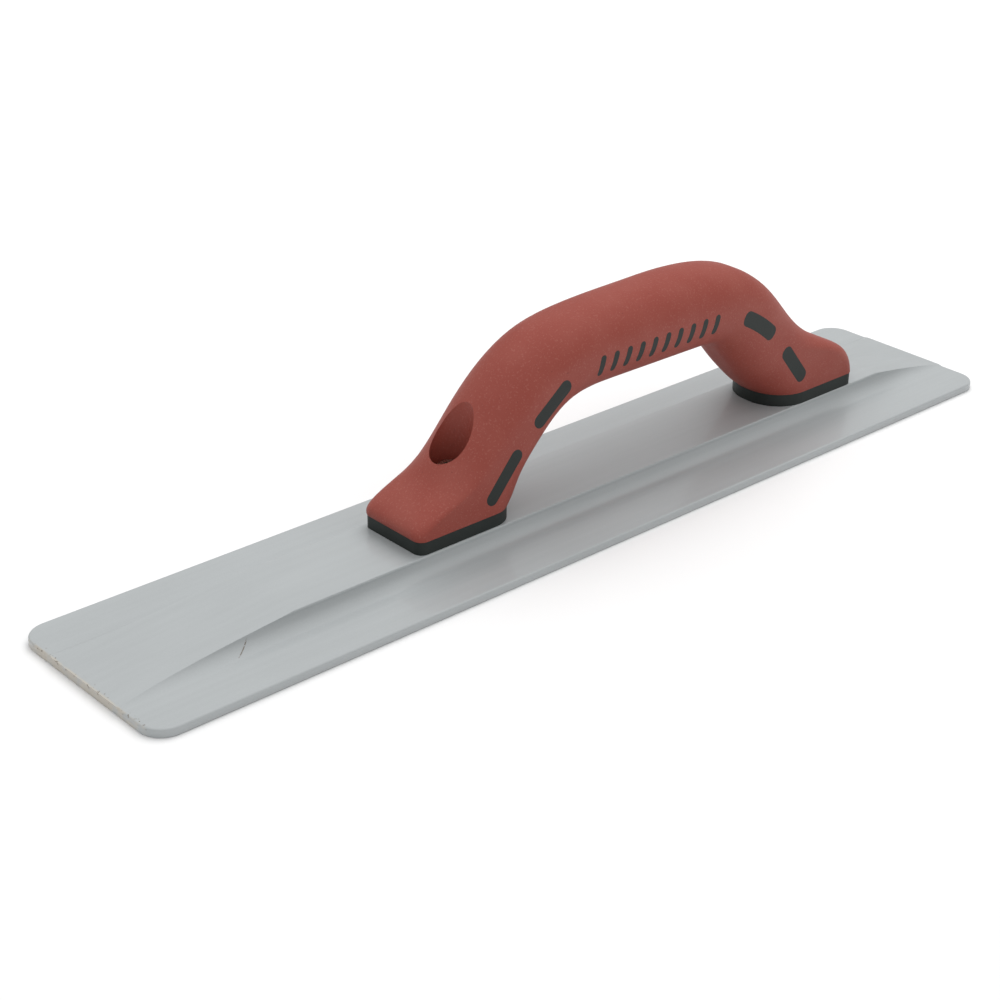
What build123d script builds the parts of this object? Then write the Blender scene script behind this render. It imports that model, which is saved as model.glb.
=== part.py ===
from build123d import *
import os

# Magnesium hand float, in millimetres. The origin is the centre of the flat sole, +X runs along the blade
# towards the steep rear end of the handle, and +Z is up.

# Blade: one magnesium extrusion, a thin flange on each side of a thick centre rib
blade_length = 406.4
blade_width = 79.4
blade_corner_radius = 9.0
flange_thickness = 3.2
flange_edge_radius = 0.8
sole_edge_radius = 0.4
rib_width = 32.4
rib_height = 9.5
rib_root_radius = 5.5
rib_edge_radius = 0.6

# Flat bevels milled down the rib at both ends of the blade, almost to the flange
front_bevel_length = 70.0
rear_bevel_length = 40.0
bevel_end_step = 0.1

# Handle: a hard core with a foot pad under each leg, and a soft skin moulded over it
handle_length = 229.0
handle_rise = 62.0
handle_front_x = -80.5
grip_width = 32.0
middle_narrowing = 0.5
front_foot_margin = 0.7
rear_foot_margin = 0.0
pad_thickness = 5.0
pad_inset = 0.2
skin_thickness = 3.0
smallest_radius = 0.5
smallest_flat = 0.4

# Windows in the skin, where pads of the core come out flush with it
window_root_depth = 5.5
bar_count = 10
bar_pitch = 6.6
bar_width = 2.6
bar_height = 8.0
bar_lean = 12.0

# Screws: from a counterbore in each leg, through the foot and into a blind threaded hole in the rib
screw_diameter = 6.0
screw_head_diameter = 12.0
screw_head_height = 4.0
screw_head_edge_radius = 1.5
screw_seat_height = 16.5
screw_tip_height = 3.0
screw_tip_chamfer = 0.6
drive_width = 1.4
drive_length = 7.0
drive_depth = 2.2
counterbore_clearance = 1.7
counterbore_lining = 1.6
screw_hole_clearance = 0.5
thread_clearance = 0.1
tapped_hole_floor = 2.0

# The handle's outline was drawn at this length and rise, and is stretched to handle_length and handle_rise
drawn_length = 229.0
drawn_rise = 62.0

pad_top = rib_height + pad_thickness
middle_width = grip_width - middle_narrowing
front_foot_width = rib_width - 2 * front_foot_margin
rear_foot_width = rib_width - 2 * rear_foot_margin
counterbore_diameter = screw_head_diameter + 2 * counterbore_clearance


def handle_point(along, up):
    """Place a point of the drawn outline, from the front toe and the pads' top, on the plane of symmetry."""
    x = handle_front_x + along * handle_length / drawn_length
    return Vector(x, 0, pad_top + up * handle_rise / drawn_rise)


# Cross-sections of the handle from the front foot to the rear foot. Each has its point on the outer side
# and on the inner side (along, up), its width, and its corner radii on the outer and the inner side.
sections = [
    ((0.0, 0.0), (46.0, 0.0), front_foot_width, 3.5, 11.0),
    ((1.5, 5.0), (49.5, 6.0), front_foot_width, 6.0, 11.0),
    ((12.5, 12.0), (53.5, 13.0), front_foot_width, 12.0, 11.0),
    ((23.0, 23.1), (60.0, 21.0), front_foot_width, 15.0, 10.0),
    ((34.1, 36.4), (67.0, 26.5), middle_width, 15.2, 11.0),
    ((46.6, 48.0), (74.5, 29.8), grip_width, 15.4, 12.5),
    ((63.5, 57.0), (83.5, 30.5), grip_width, 15.0, 14.0),
    ((86.5, 61.1), (92.5, 30.3), grip_width, 15.4, 14.5),
    ((113.5, 62.0), (113.5, 29.9), grip_width, 15.5, 15.0),
    ((142.5, 61.6), (141.5, 29.9), grip_width, 15.5, 14.5),
    ((163.5, 57.0), (153.0, 28.5), grip_width, 14.5, 14.0),
    ((180.5, 46.5), (160.0, 22.5), grip_width, 13.0, 13.0),
    ((193.0, 33.0), (166.0, 15.5), grip_width, 12.0, 13.0),
    ((204.5, 22.0), (172.5, 8.5), grip_width, 9.0, 14.0),
    ((219.5, 14.0), (178.5, 3.0), rear_foot_width, 6.0, 14.5),
    ((229.0, 0.0), (182.5, 0.0), rear_foot_width, 4.0, 15.0),
]
front_foot = sections[0]
rear_foot = sections[-1]

# Each window: the middles of its two ends (along, up), its bow towards the outer side, its width and its
# corner radius
windows = [
    ((52.4, 28.2), (68.0, 41.0), 0.0, 5.8, 2.7),
    ((31.2, 4.6), (45.4, 21.4), 0.0, 5.4, 2.5),
    ((159.0, 41.4), (176.6, 29.4), 0.8, 6.2, 2.6),
    ((184.0, 21.6), (196.8, 5.8), 0.0, 5.8, 2.6),
]
bar_row_middle = (113.5, 42.6)

# Screw positions along the drawn handle, and the heights that follow from them
front_screw_along = 27.2
rear_screw_along = 202.5
screw_seat = rib_height + screw_seat_height
screw_xs = [handle_point(along, 0).X for along in (front_screw_along, rear_screw_along)]
lining_diameter = counterbore_diameter + 2 * counterbore_lining
above_handle = pad_top + 2 * handle_rise


def section_plane(section):
    """Plane of a handle section: its X runs from the inner side to the outer side."""
    outer, inner = handle_point(*section[0]), handle_point(*section[1])
    across = outer - inner
    return Plane(origin=(outer + inner) / 2, x_dir=across, z_dir=across.cross(Vector(0, 1, 0)))


def draw_section(section, inset):
    """Draw a rounded section, each side moved in by the inset, in the sketch that is open."""
    outer, inner, width, outer_radius, inner_radius = section
    depth = (handle_point(*outer) - handle_point(*inner)).length
    Rectangle(depth - 2 * inset, width - 2 * inset)
    largest_radius = width / 2 - inset - smallest_flat
    for end, radius in ((-1, outer_radius), (0, inner_radius)):
        fillet(vertices().group_by(Axis.X)[end], min(max(radius - inset, smallest_radius), largest_radius))


def window_face(start, end, bow, width, corner_radius):
    """Flat outline of a window, a straight or bowed band with rounded corners, in the sketch's own axes."""
    ends = ((start.X, start.Z), (end.X, end.Z))
    with BuildSketch(mode=Mode.PRIVATE) as window:
        with BuildLine():
            if bow:
                SagittaArc(*ends, bow)
            else:
                Line(*ends)
        trace(line_width=width)
        fillet(vertices(), corner_radius)
    return window.sketch


# Blade -----------------------------------------------------------------------------------------------
half_length = blade_length / 2
half_width = blade_width / 2
half_rib = rib_width / 2
bevel_end_height = flange_thickness + bevel_end_step
root_radius = min(rib_root_radius, rib_height - flange_thickness - 2 * rib_edge_radius)

with BuildPart() as blade:
    with BuildSketch(Plane.YZ.offset(-half_length)) as blade_profile:
        with Locations((0, flange_thickness / 2)):
            Rectangle(blade_width, flange_thickness)
        with Locations((0, rib_height / 2)):
            Rectangle(rib_width, rib_height)
        for height, radius in ((rib_height, rib_edge_radius), (flange_thickness, root_radius)):
            rib_points = vertices().filter_by(lambda v: abs(abs(v.X) - half_rib) < rib_edge_radius)
            fillet(rib_points.filter_by(lambda v: abs(v.Y - height) < rib_edge_radius), radius)
    extrude(amount=blade_length)

    # The corners are rounded in plan
    with BuildSketch():
        RectangleRounded(blade_length, blade_width, blade_corner_radius)
    extrude(amount=rib_height, mode=Mode.INTERSECT)

    # The bevels meet the rib's top at their inner ends and leave a small step at the blade's ends
    for side, bevel_length in ((-1, front_bevel_length), (1, rear_bevel_length)):
        bevel_rise = rib_height - bevel_end_height
        with BuildSketch(Plane.XZ):
            with BuildLine():
                Polyline(
                    (side * (half_length - bevel_length), rib_height),
                    (side * half_length, bevel_end_height),
                    (side * (half_length + bevel_length), bevel_end_height - bevel_rise),
                    (side * (half_length + bevel_length), rib_height + bevel_rise),
                    (side * (half_length - bevel_length), rib_height + bevel_rise),
                    close=True,
                )
            make_face()
        extrude(amount=half_rib + root_radius, both=True, mode=Mode.SUBTRACT)

    # The flange's upper edge and the edge of the sole are eased along both sides
    side_edges = edges().filter_by(lambda e: abs(abs(e.center().Y) - half_width) < sole_edge_radius)
    long_edges = side_edges.filter_by(Axis.X)
    fillet(long_edges.group_by(Axis.Z)[-1], flange_edge_radius)
    fillet(faces().sort_by(Axis.Z)[0].edges(), sole_edge_radius)

    # Blind threaded holes
    for x in screw_xs:
        with BuildSketch(Plane.XY.offset(tapped_hole_floor)):
            with Locations((x, 0)):
                Circle(screw_diameter / 2 + thread_clearance)
        extrude(amount=rib_height, mode=Mode.SUBTRACT)

# Outer body of the handle, which the core and the skin share -------------------------------------------
with BuildPart() as handle_body:
    for section in sections:
        with BuildSketch(section_plane(section)):
            draw_section(section, 0)
    loft()

# Prisms of the windows and of the row of bars, from inside the core out past the skin
window_start = min(section[2] for section in sections) / 2 - window_root_depth
with BuildPart() as window_prisms:
    for side in (-1, 1):
        with BuildSketch(Plane.XZ.offset(side * window_start)):
            for front_end, rear_end, bow, width, corner_radius in windows:
                add(window_face(handle_point(*front_end), handle_point(*rear_end), bow, width, corner_radius))
            bar_middle = handle_point(*bar_row_middle)
            with Locations((bar_middle.X, bar_middle.Z)):
                with GridLocations(bar_pitch, 0, bar_count, 1):
                    SlotOverall(bar_height, bar_width, rotation=90 - bar_lean)
        extrude(amount=side * grip_width)

# Core of the handle, before its pads are added ---------------------------------------------------------
with BuildPart() as core_blank:
    for section in sections:
        with BuildSketch(section_plane(section)):
            draw_section(section, skin_thickness)
    loft()
    for x in screw_xs:
        with BuildSketch(Plane.XY.offset(screw_seat)):
            with Locations((x, 0)):
                Circle(lining_diameter / 2)
        extrude(amount=above_handle, mode=Mode.SUBTRACT)

with BuildPart() as window_pads:
    add(window_prisms.part)
    add(handle_body.part, mode=Mode.INTERSECT)

with BuildPart() as handle_core:
    add(core_blank.part)
    for foot in (front_foot, rear_foot):
        outline_plane = section_plane(foot)
        pad_bottom = outline_plane.origin - Vector(0, 0, pad_thickness)
        with BuildSketch(Plane(origin=pad_bottom, x_dir=outline_plane.x_dir)):
            draw_section(foot, pad_inset)
        extrude(amount=pad_thickness)
    add(window_pads.part)
    for x in screw_xs:
        with BuildSketch(Plane.XY):
            with Locations((x, 0)):
                Circle((screw_diameter + screw_hole_clearance) / 2)
        extrude(amount=above_handle, mode=Mode.SUBTRACT)

# Soft skin ---------------------------------------------------------------------------------------------
with BuildPart() as soft_grip:
    add(handle_body.part)
    add(core_blank.part, mode=Mode.SUBTRACT)
    add(window_prisms.part, mode=Mode.SUBTRACT)
    for x in screw_xs:
        with BuildSketch(Plane.XY.offset(screw_seat)):
            with Locations((x, 0)):
                Circle(counterbore_diameter / 2)
        extrude(amount=above_handle, mode=Mode.SUBTRACT)


def make_screw(x):
    """Pan-head cross-recess screw, standing on its seat at the given place along the blade."""
    with BuildPart() as screw:
        with BuildSketch(Plane.XY.offset(screw_tip_height)):
            with Locations((x, 0)):
                Circle(screw_diameter / 2)
        extrude(amount=screw_seat - screw_tip_height)
        with BuildSketch(Plane.XY.offset(screw_seat)):
            with Locations((x, 0)):
                Circle(screw_head_diameter / 2)
        extrude(amount=screw_head_height)
        fillet(edges().group_by(Axis.Z)[-1], screw_head_edge_radius)
        with BuildSketch(Plane.XY.offset(screw_seat + screw_head_height - drive_depth)):
            with Locations((x, 0)):
                Rectangle(drive_length, drive_width)
                Rectangle(drive_width, drive_length)
        extrude(amount=drive_depth, mode=Mode.SUBTRACT)
        chamfer(edges().group_by(Axis.Z)[0], screw_tip_chamfer)
    return screw


front_screw, rear_screw = (make_screw(x) for x in screw_xs)

os.makedirs("parts", exist_ok=True)
nodes = {
    "blade": blade,
    "handle_core": handle_core,
    "soft_grip": soft_grip,
    "front_screw": front_screw,
    "rear_screw": rear_screw,
}
for label, node in nodes.items():
    node.part.label = label
    export_step(node.part, f"parts/{label}.step")
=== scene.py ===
"""Looks of a magnesium hand float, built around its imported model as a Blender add-on."""
import math

import bpy
from bpy.props import FloatProperty, FloatVectorProperty, PointerProperty
from mathutils import Matrix, Vector


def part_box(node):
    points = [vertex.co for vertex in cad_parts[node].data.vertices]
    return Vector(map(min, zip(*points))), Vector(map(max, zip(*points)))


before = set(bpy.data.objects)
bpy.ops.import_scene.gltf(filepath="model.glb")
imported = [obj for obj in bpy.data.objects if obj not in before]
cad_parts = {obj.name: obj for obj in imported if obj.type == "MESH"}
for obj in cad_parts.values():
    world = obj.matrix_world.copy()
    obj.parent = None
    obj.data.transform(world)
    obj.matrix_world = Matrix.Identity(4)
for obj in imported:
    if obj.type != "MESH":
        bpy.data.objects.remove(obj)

bl_info = {
    "name": "Magnesium hand float",
    "version": (1, 0, 0),
    "blender": (4, 5, 0),
    "location": "View3D > Sidebar > Hand Float",
    "description": "Finishes a concrete finisher's hand float around its packed model",
    "category": "Object",
}

BLADE_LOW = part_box("blade")[0]
MM = 0.001


# Shader building ---------------------------------------------------------------------------------------
class Value:
    """A shader socket that can stand in a sum: each operator adds one Math node."""

    def __init__(self, finish, socket):
        self.finish = finish
        self.socket = socket

    def _math(self, operation, first, second):
        return self.finish.node("ShaderNodeMath", {"operation": operation}, {0: first, 1: second})

    def __add__(self, other):
        return self._math("ADD", self, other)

    def __sub__(self, other):
        return self._math("SUBTRACT", self, other)

    def __rsub__(self, other):
        return self._math("SUBTRACT", other, self)

    def __mul__(self, other):
        return self._math("MULTIPLY", self, other)

    __radd__ = __add__
    __rmul__ = __mul__

    def ramp(self, low, high):
        """0 below low, 1 above high, and smooth between them."""
        return self.finish.node(
            "ShaderNodeMapRange",
            {"interpolation_type": "SMOOTHSTEP"},
            {"Value": self, "From Min": low, "From Max": high},
        )


class Nodes:
    """A node tree, with short ways to add nodes to it."""

    def __init__(self, tree, coordinates):
        self.tree = tree
        self.place = self.node("ShaderNodeTexCoord", output=coordinates)

    def node(self, kind, settings=None, inputs=None, output=0):
        """Add a node of a kind, with its settings, its input values or links, and give one output."""
        made = self.tree.nodes.new(kind)
        for key, setting in (settings or {}).items():
            setattr(made, key, setting)
        for key, given in (inputs or {}).items():
            self.feed(made.inputs[key], given)
        return Value(self, made.outputs[output])

    def feed(self, socket, given):
        """Link a value to a socket, or set the socket to a constant."""
        if isinstance(given, Value):
            self.tree.links.new(given.socket, socket)
        else:
            socket.default_value = given

    def noise(self, size, stretch=(1, 1, 1), detail=2.0, roughness=0.5):
        """Noise from 0 to 1 with features of the given size in metres, longer along a stretched axis."""
        scales = tuple(1 / (size * share) for share in stretch)
        spot = self.node("ShaderNodeMapping", inputs={"Vector": self.place, "Scale": scales})
        settings = {"Vector": spot, "Scale": 1.0, "Detail": detail, "Roughness": roughness}
        return self.node("ShaderNodeTexNoise", inputs=settings)

    def blend(self, share, first, second):
        """Mix two colours by a share from 0 to 1."""
        mixed = self.tree.nodes.new("ShaderNodeMix")
        mixed.data_type = "RGBA"
        sockets = {s.identifier: s for s in mixed.inputs}
        self.feed(sockets["Factor_Float"], share)
        self.feed(sockets["A_Color"], first)
        self.feed(sockets["B_Color"], second)
        return Value(self, next(s for s in mixed.outputs if s.identifier == "Result_Color"))

    def axis(self, name):
        """One coordinate of the surface point, in metres in the part's frame."""
        return self.node("ShaderNodeSeparateXYZ", inputs={"Vector": self.place}, output=name)

    def near(self, offset, reach):
        """1 around an offset of 0, falling smoothly to 0 at a reach either way."""
        return 1 - (offset * offset * (1 / reach ** 2)).ramp(0.5, 1.0)


class Finish(Nodes):
    """A new material with one Principled shader."""

    def __init__(self, name):
        self.material = bpy.data.materials.new(name)
        self.material.use_nodes = True
        super().__init__(self.material.node_tree, "Object")
        self.shader = next(n for n in self.tree.nodes if n.type == "BSDF_PRINCIPLED")

    def surface(self, **inputs):
        """Set or link the shader's own sockets, named with underscores for spaces."""
        for key, given in inputs.items():
            self.feed(self.shader.inputs[key.replace("_", " ")], given)

    def bump(self, height, depth):
        """Normal raised by a height from 0 to 1 times a depth in metres."""
        return self.node("ShaderNodeBump", inputs={"Height": height, "Distance": depth}, output="Normal")


def colour(values):
    """Red, green and blue as an opaque colour."""
    return (*values, 1.0)


# Properties --------------------------------------------------------------------------------------------
class FloatBladeLook(bpy.types.PropertyGroup):
    metal: FloatVectorProperty(
        name="Metal", description="Colour of the clean magnesium", subtype="COLOR", size=3,
        default=(0.398, 0.420, 0.426),
    )
    worn_metal: FloatVectorProperty(
        name="Worn metal", description="Warm tint where the front end has been knocked", subtype="COLOR",
        size=3, default=(0.50, 0.455, 0.385),
    )
    metallic: FloatProperty(
        name="Metallic", description="Share of bare metal in the oxide-dulled surface", default=0.08,
        min=0, max=1,
    )
    specular: FloatProperty(
        name="Specular", description="Strength of the dull highlight", default=0.35, min=0, max=1,
    )
    roughness: FloatProperty(
        name="Roughness", description="Dullness of the metal", default=0.38, min=0, max=1,
    )
    polish: FloatProperty(
        name="Polish", description="Strength of the smooth sheen over the metal", default=0.34, min=0, max=1,
    )
    polish_roughness: FloatProperty(
        name="Polish roughness", description="Dullness of the sheen", default=0.10, min=0, max=1,
    )
    line_size: FloatProperty(
        name="Die line width", description="Width of the fine lines along the extrusion",
        default=0.35 * MM, unit="LENGTH", precision=5,
    )
    streak_size: FloatProperty(
        name="Streak width", description="Width of the soft streaks along the extrusion",
        default=3.0 * MM, unit="LENGTH", precision=5,
    )
    cloud_size: FloatProperty(
        name="Cloud size", description="Size of the soft dull patches", default=18.0 * MM, unit="LENGTH",
        precision=5,
    )
    grain_size: FloatProperty(
        name="Grain", description="Size of the metal's fine grain", default=0.5 * MM, unit="LENGTH",
        precision=5,
    )
    rubbed_depth: FloatProperty(
        name="Rubbed depth", description="How far the wear reaches in from the front end",
        default=1.0 * MM, unit="LENGTH", precision=5,
    )
    nick_size: FloatProperty(
        name="Nick size", description="Size of the dark nicks in the front edge", default=1.5 * MM,
        unit="LENGTH", precision=5,
    )
    dirt: FloatVectorProperty(
        name="Dirt", description="Colour in the nicks and the gouge", subtype="COLOR", size=3,
        default=(0.16, 0.13, 0.10),
    )
    gouge_place: FloatVectorProperty(
        name="Gouge", description="Where the gouge crosses the rib's side, along and across", size=2,
        default=(-156.0 * MM, -18.2 * MM), unit="LENGTH", precision=5,
    )
    gouge_width: FloatProperty(
        name="Gouge width", description="Half the width of the gouge", default=0.35 * MM, unit="LENGTH",
        precision=5,
    )
    gouge_reach: FloatProperty(
        name="Gouge reach", description="Half the gouge's reach across the blade", default=1.9 * MM,
        unit="LENGTH", precision=5,
    )
    gouge_slant: FloatProperty(
        name="Gouge slant", description="How far along the gouge runs for each step across", default=1.6,
    )


class FloatGripLook(bpy.types.PropertyGroup):
    rubber: FloatVectorProperty(
        name="Rubber", description="Colour of the soft skin", subtype="COLOR", size=3,
        default=(0.268, 0.044, 0.028),
    )
    faded_rubber: FloatVectorProperty(
        name="Faded rubber", description="Dustier patches of the skin", subtype="COLOR", size=3,
        default=(0.285, 0.056, 0.038),
    )
    dust: FloatVectorProperty(
        name="Dust", description="Pale specks in the stipple", subtype="COLOR", size=3,
        default=(0.40, 0.135, 0.105),
    )
    specular: FloatProperty(
        name="Specular", description="Strength of the skin's highlight", default=0.45, min=0, max=1,
    )
    roughness: FloatProperty(
        name="Roughness", description="Dullness between the grains", default=0.5, min=0, max=1,
    )
    grain_size: FloatProperty(
        name="Grain", description="Size of the moulded stipple", default=0.45 * MM, unit="LENGTH",
        precision=5,
    )
    grain_depth: FloatProperty(
        name="Grain depth", description="Height of the moulded stipple", default=0.06 * MM, unit="LENGTH",
        precision=5,
    )
    patch_size: FloatProperty(
        name="Patch size", description="Size of the faded patches", default=14.0 * MM, unit="LENGTH",
        precision=5,
    )
    dust_size: FloatProperty(
        name="Dust size", description="Size of the pale specks", default=0.7 * MM, unit="LENGTH",
        precision=5,
    )
    speck_size: FloatProperty(
        name="Speck size", description="Size of the few dark specks", default=1.1 * MM, unit="LENGTH",
        precision=5,
    )


class FloatCoreLook(bpy.types.PropertyGroup):
    plastic: FloatVectorProperty(
        name="Plastic", description="Colour of the hard core", subtype="COLOR", size=3,
        default=(0.0088, 0.0135, 0.0115),
    )
    specular: FloatProperty(
        name="Specular", description="Strength of the plastic's highlight", default=0.4, min=0, max=1,
    )
    roughness: FloatProperty(
        name="Roughness", description="Dullness between the grains", default=0.48, min=0, max=1,
    )
    texture_size: FloatProperty(
        name="Texture", description="Size of the sparked texture", default=0.3 * MM, unit="LENGTH",
        precision=5,
    )
    texture_depth: FloatProperty(
        name="Texture depth", description="Height of the sparked texture", default=0.03 * MM,
        unit="LENGTH", precision=5,
    )
    patch_size: FloatProperty(
        name="Patch size", description="Size of the darker and lighter patches", default=9.0 * MM,
        unit="LENGTH", precision=5,
    )


class FloatScrewLook(bpy.types.PropertyGroup):
    zinc: FloatVectorProperty(
        name="Zinc", description="Colour of the plated screws", subtype="COLOR", size=3,
        default=(0.62, 0.63, 0.62),
    )
    roughness: FloatProperty(
        name="Roughness", description="Dullness of the clean plating", default=0.2, min=0, max=1,
    )
    bloom_size: FloatProperty(
        name="Bloom", description="Size of the yellowed patches", default=1.6 * MM, unit="LENGTH",
        precision=5,
    )
    grain_size: FloatProperty(
        name="Grain", description="Size of the plating's grain", default=0.25 * MM, unit="LENGTH",
        precision=5,
    )


class FloatStage(bpy.types.PropertyGroup):
    azimuth: FloatProperty(
        name="Azimuth", description="Way round the tool to the camera", default=math.radians(-42.435),
        subtype="ANGLE",
    )
    elevation: FloatProperty(
        name="Elevation", description="Height of the camera above the floor, as an angle",
        default=math.radians(27.178), subtype="ANGLE",
    )
    roll: FloatProperty(
        name="Roll", description="Lean of the camera", default=math.radians(0.951), subtype="ANGLE",
    )
    distance: FloatProperty(
        name="Distance", description="From the aim to the camera", default=0.7464, unit="LENGTH",
    )
    aim: FloatVectorProperty(
        name="Aim", description="Point that the camera looks at", default=(-0.0168, 0.0145, -0.0013),
        subtype="TRANSLATION",
    )
    lens: FloatProperty(name="Lens", description="Focal length in millimetres", default=72.63)
    near_clip: FloatProperty(
        name="Near clip", description="Nearest distance that the camera sees", default=0.01, unit="LENGTH",
    )
    horizon: FloatProperty(name="Horizon", description="Brightness of the sky at floor level", default=0.42)
    zenith: FloatProperty(name="Zenith", description="Brightness of the sky overhead", default=1.15)
    key_place: FloatVectorProperty(
        name="Key light", description="Place of the key light", default=(0.85, 0.45, 1.45),
        subtype="TRANSLATION",
    )
    key_size: FloatProperty(name="Key size", description="Side of the key light", default=1.3, unit="LENGTH")
    key_power: FloatProperty(name="Key power", description="Watts of the key light", default=13.0)
    floor_size: FloatProperty(name="Floor", description="Side of the floor", default=12.0, unit="LENGTH")
    paper: FloatVectorProperty(
        name="Paper", description="Colour of the floor", subtype="COLOR", size=3, default=(0.87, 0.87, 0.87),
    )


# Pieces ------------------------------------------------------------------------------------------------
def dress(node, finish):
    """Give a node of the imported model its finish."""
    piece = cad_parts[node]
    piece.data.materials.clear()
    piece.data.materials.append(finish.material)


def magnesium(look):
    """Satin extruded magnesium with die lines along it, a knocked front end and a gouge beside the rib."""
    finish = Finish("satin_magnesium")
    along, across, up = (finish.axis(name) for name in "XYZ")
    lines = finish.noise(look.line_size, stretch=(500, 1, 1), detail=3.0)
    streaks = finish.noise(look.streak_size, stretch=(60, 1, 1), detail=2.0)
    clouds = finish.noise(look.cloud_size, stretch=(2.5, 1, 1))
    grain = finish.noise(look.grain_size, detail=3.0)
    tone = 0.35 * clouds + 0.35 * streaks + 0.3 * grain
    metal, tone_spread = Vector(look.metal), 0.04
    dull, bright = colour(metal * (1 - tone_spread)), colour(metal * (1 + tone_spread))
    clean = finish.blend(tone.ramp(0.3, 0.7), dull, bright)

    # The front end's face is rubbed warm and pale
    from_end = along - BLADE_LOW.x
    rubbed_patches = finish.noise(5.0 * MM, detail=3.0).ramp(0.3, 0.6)
    rubbed = (1 - from_end.ramp(0.1 * look.rubbed_depth, look.rubbed_depth)) * rubbed_patches

    # Small dark nicks lie along its upper edge
    edge = (1 - from_end.ramp(1.2 * MM, 2.2 * MM)) * up.ramp(2.0 * MM, 2.8 * MM)
    nicks = edge * finish.noise(look.nick_size, detail=2.0).ramp(0.62, 0.68)

    # One short gouge crosses the side of the rib
    gouge_along, gouge_across = look.gouge_place
    off_centre = across - gouge_across
    off_line = (along - gouge_along) - look.gouge_slant * off_centre
    gouge = finish.near(off_line, look.gouge_width) * finish.near(off_centre, look.gouge_reach)
    broken_gouge = gouge * finish.noise(0.8 * MM).ramp(0.35, 0.5)

    marks = 0.75 * nicks + 0.8 * broken_gouge
    worn = finish.blend(0.8 * rubbed, clean, colour(look.worn_metal))
    finish.surface(
        Base_Color=finish.blend(marks, worn, colour(look.dirt)),
        Metallic=look.metallic,
        Specular_IOR_Level=look.specular,
        Roughness=look.roughness + 0.10 * (lines - 0.5) + 0.08 * clouds + 0.2 * marks,
        Coat_Weight=look.polish - 0.25 * rubbed - 0.25 * marks,
        Coat_Roughness=look.polish_roughness,
        Normal=finish.bump(0.5 * lines + 0.5 * grain - 3 * marks, 0.006 * MM),
    )
    return finish


def rubber(look):
    """Soft moulded rubber with a fine stipple, faded patches, pale dust and a few dark specks."""
    finish = Finish("red_rubber")
    stipple = finish.noise(look.grain_size, detail=2.0)
    patches = finish.noise(look.patch_size, detail=3.0).ramp(0.3, 0.75)
    pale_specks = finish.noise(look.dust_size, detail=1.0).ramp(0.56, 0.72)
    dark_specks = finish.noise(look.speck_size, detail=1.0).ramp(0.74, 0.8)
    skin = finish.blend(patches, colour(look.rubber), colour(look.faded_rubber))
    dusty = finish.blend(0.3 * pale_specks, skin, colour(look.dust))
    dark_rubber = colour(Vector(look.rubber) * 0.55)
    finish.surface(
        Base_Color=finish.blend(0.5 * dark_specks, dusty, dark_rubber),
        Roughness=look.roughness + 0.12 * stipple,
        Specular_IOR_Level=look.specular,
        Normal=finish.bump(stipple, look.grain_depth),
    )
    return finish


def plastic(look):
    """Hard moulded plastic with a fine sparked texture."""
    finish = Finish("dark_plastic")
    texture = finish.noise(look.texture_size, detail=2.0)
    patches = finish.noise(look.patch_size)
    base = Vector(look.plastic)
    finish.surface(
        Base_Color=finish.blend(patches, colour(base * 0.85), colour(base * 1.2)),
        Roughness=look.roughness + 0.12 * texture,
        Specular_IOR_Level=look.specular,
        Normal=finish.bump(texture, look.texture_depth),
    )
    return finish


def zinc_plate(look):
    """Bright zinc plating with a faint yellowed bloom."""
    finish = Finish("zinc_steel")
    bloom = finish.noise(look.bloom_size, detail=3.0)
    zinc = Vector(look.zinc)
    yellowed = Vector((zinc.x * 1.1, zinc.y * 1.05, zinc.z * 0.85))
    finish.surface(
        Base_Color=finish.blend(bloom, colour(zinc), colour(yellowed)),
        Metallic=1.0,
        Roughness=look.roughness + 0.15 * bloom,
        Normal=finish.bump(finish.noise(look.grain_size), 0.01 * MM),
    )
    return finish


class FLOAT_OT_blade(bpy.types.Operator):
    """Finish the magnesium blade"""
    bl_idname = "hand_float.blade"
    bl_label = "Blade"

    def execute(self, context):
        dress("blade", magnesium(context.scene.float_blade))
        return {"FINISHED"}


class FLOAT_OT_core(bpy.types.Operator):
    """Finish the handle's hard core, with its foot pads and windows"""
    bl_idname = "hand_float.core"
    bl_label = "Handle core"

    def execute(self, context):
        dress("handle_core", plastic(context.scene.float_core))
        return {"FINISHED"}


class FLOAT_OT_grip(bpy.types.Operator):
    """Finish the handle's soft skin"""
    bl_idname = "hand_float.grip"
    bl_label = "Soft grip"

    def execute(self, context):
        dress("soft_grip", rubber(context.scene.float_grip))
        return {"FINISHED"}


class FLOAT_OT_screws(bpy.types.Operator):
    """Finish the two screws that hold the handle"""
    bl_idname = "hand_float.screws"
    bl_label = "Screws"

    def execute(self, context):
        finish = zinc_plate(context.scene.float_screws)
        for node in ("front_screw", "rear_screw"):
            dress(node, finish)
        return {"FINISHED"}


# Stage -------------------------------------------------------------------------------------------------
def make_floor(stage):
    """Square of matt white paper that the sole rests on."""
    half = stage.floor_size / 2
    corners = [(x * half, y * half, BLADE_LOW.z) for x, y in ((-1, -1), (1, -1), (1, 1), (-1, 1))]
    mesh = bpy.data.meshes.new("floor")
    mesh.from_pydata(corners, [], [(0, 1, 2, 3)])
    floor = bpy.data.objects.new("floor", mesh)
    bpy.context.scene.collection.objects.link(floor)
    finish = Finish("white_paper")
    finish.surface(Base_Color=colour(stage.paper), Roughness=1.0, Specular_IOR_Level=0.0)
    mesh.materials.append(finish.material)


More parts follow.
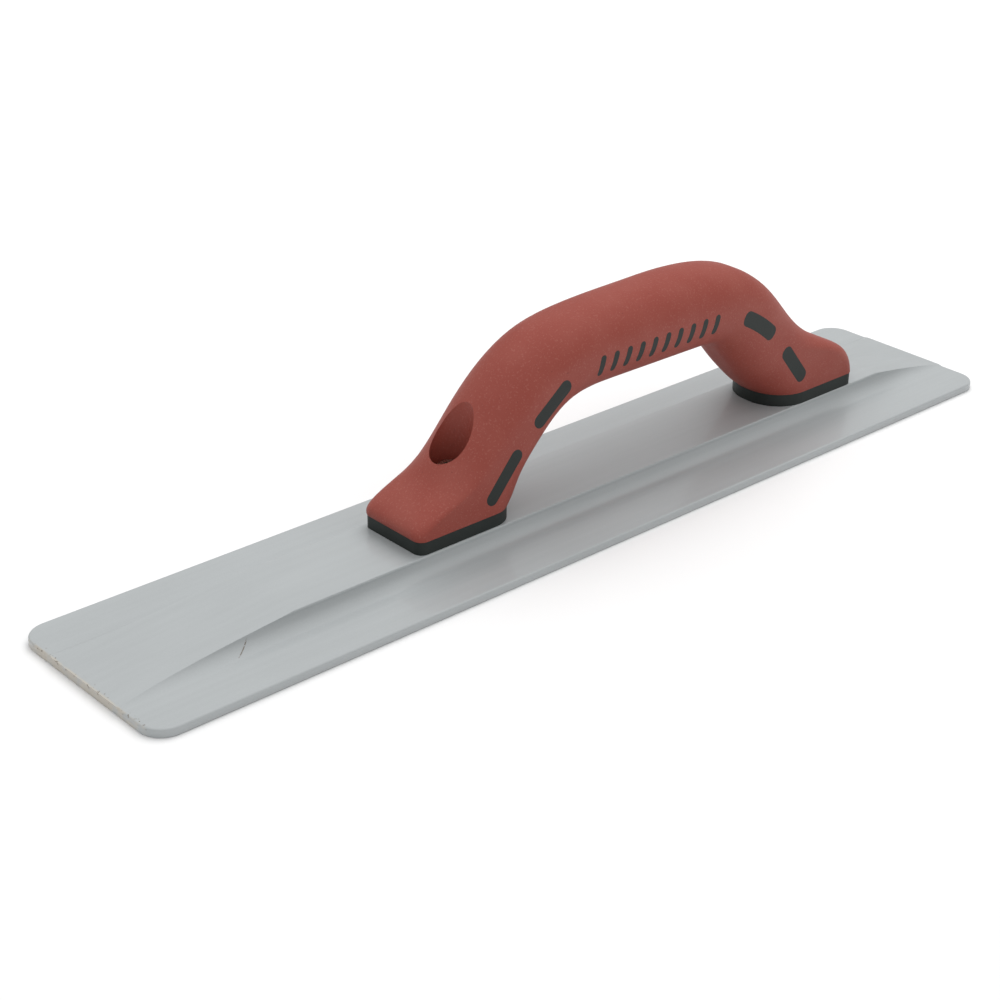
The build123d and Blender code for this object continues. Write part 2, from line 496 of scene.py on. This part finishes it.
def add_softbox(name, place, size, power):
    """Square area light at a place, turned to the tool and left out of its reflections."""
    light = bpy.data.lights.new(name, "AREA")
    light.shape = "SQUARE"
    light.size = size
    light.energy = power
    box = bpy.data.objects.new(name, light)
    box.location = place
    box.visible_glossy = False
    box.rotation_mode = "QUATERNION"
    box.rotation_quaternion = (-Vector(place)).to_track_quat("-Z", "Y")
    bpy.context.scene.collection.objects.link(box)


def add_camera(stage):
    """Camera that looks at the aim from its distance, azimuth and elevation, leaning by its roll."""
    level = math.cos(stage.elevation)
    back = Vector((
        math.sin(stage.azimuth) * level,
        -math.cos(stage.azimuth) * level,
        math.sin(stage.elevation),
    ))
    right = Vector((0, 0, 1)).cross(back).normalized()
    upright = Matrix((right, back.cross(right), back)).transposed()
    turn = Matrix.Rotation(stage.roll, 3, back) @ upright
    camera = bpy.data.objects.new("camera", bpy.data.cameras.new("camera"))
    camera.data.lens = stage.lens
    camera.data.clip_start = stage.near_clip
    camera.matrix_world = Matrix.Translation(Vector(stage.aim) + back * stage.distance) @ turn.to_4x4()
    bpy.context.scene.collection.objects.link(camera)
    bpy.context.scene.camera = camera


def light_sky(stage):
    """Even white surround that is brightest overhead."""
    world = bpy.data.worlds.new("studio")
    world.use_nodes = True
    bpy.context.scene.world = world
    sky = Nodes(world.node_tree, "Generated")
    background = world.node_tree.nodes["Background"]
    rise = sky.axis("Z").ramp(0.0, 1.0)
    sky.feed(background.inputs["Color"], colour((1, 1, 1)))
    sky.feed(background.inputs["Strength"], stage.horizon + (stage.zenith - stage.horizon) * rise)


class FLOAT_OT_stage(bpy.types.Operator):
    """Add the floor, the lights and the camera"""
    bl_idname = "hand_float.stage"
    bl_label = "Stage"

    def execute(self, context):
        stage = context.scene.float_stage
        make_floor(stage)
        light_sky(stage)
        add_softbox("key_softbox", stage.key_place, stage.key_size, stage.key_power)
        add_camera(stage)
        context.scene.view_settings.view_transform = "Standard"
        return {"FINISHED"}


# Panel and registration --------------------------------------------------------------------------------
GROUPS = {
    "float_blade": FloatBladeLook,
    "float_grip": FloatGripLook,
    "float_core": FloatCoreLook,
    "float_screws": FloatScrewLook,
    "float_stage": FloatStage,
}
OPERATORS = (FLOAT_OT_stage, FLOAT_OT_blade, FLOAT_OT_core, FLOAT_OT_grip, FLOAT_OT_screws)


class FLOAT_PT_panel(bpy.types.Panel):
    """Sizes, colours and makers of the hand float"""
    bl_label = "Hand Float"
    bl_space_type = "VIEW_3D"
    bl_region_type = "UI"
    bl_category = "Hand Float"

    def draw(self, context):
        for name, group in GROUPS.items():
            box = self.layout.box()
            settings = getattr(context.scene, name)
            for key in group.__annotations__:
                box.prop(settings, key)
        for operator in OPERATORS:
            self.layout.operator(operator.bl_idname)


def register():
    for made in (*GROUPS.values(), *OPERATORS, FLOAT_PT_panel):
        bpy.utils.register_class(made)
    for name, group in GROUPS.items():
        setattr(bpy.types.Scene, name, PointerProperty(type=group))


def unregister():
    for name in GROUPS:
        delattr(bpy.types.Scene, name)
    for made in reversed((*GROUPS.values(), *OPERATORS, FLOAT_PT_panel)):
        bpy.utils.unregister_class(made)


def main():
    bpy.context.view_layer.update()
    register()
    for operator in OPERATORS:
        group, name = operator.bl_idname.split(".")
        getattr(getattr(bpy.ops, group), name)()


if __name__ == "__main__":
    main()
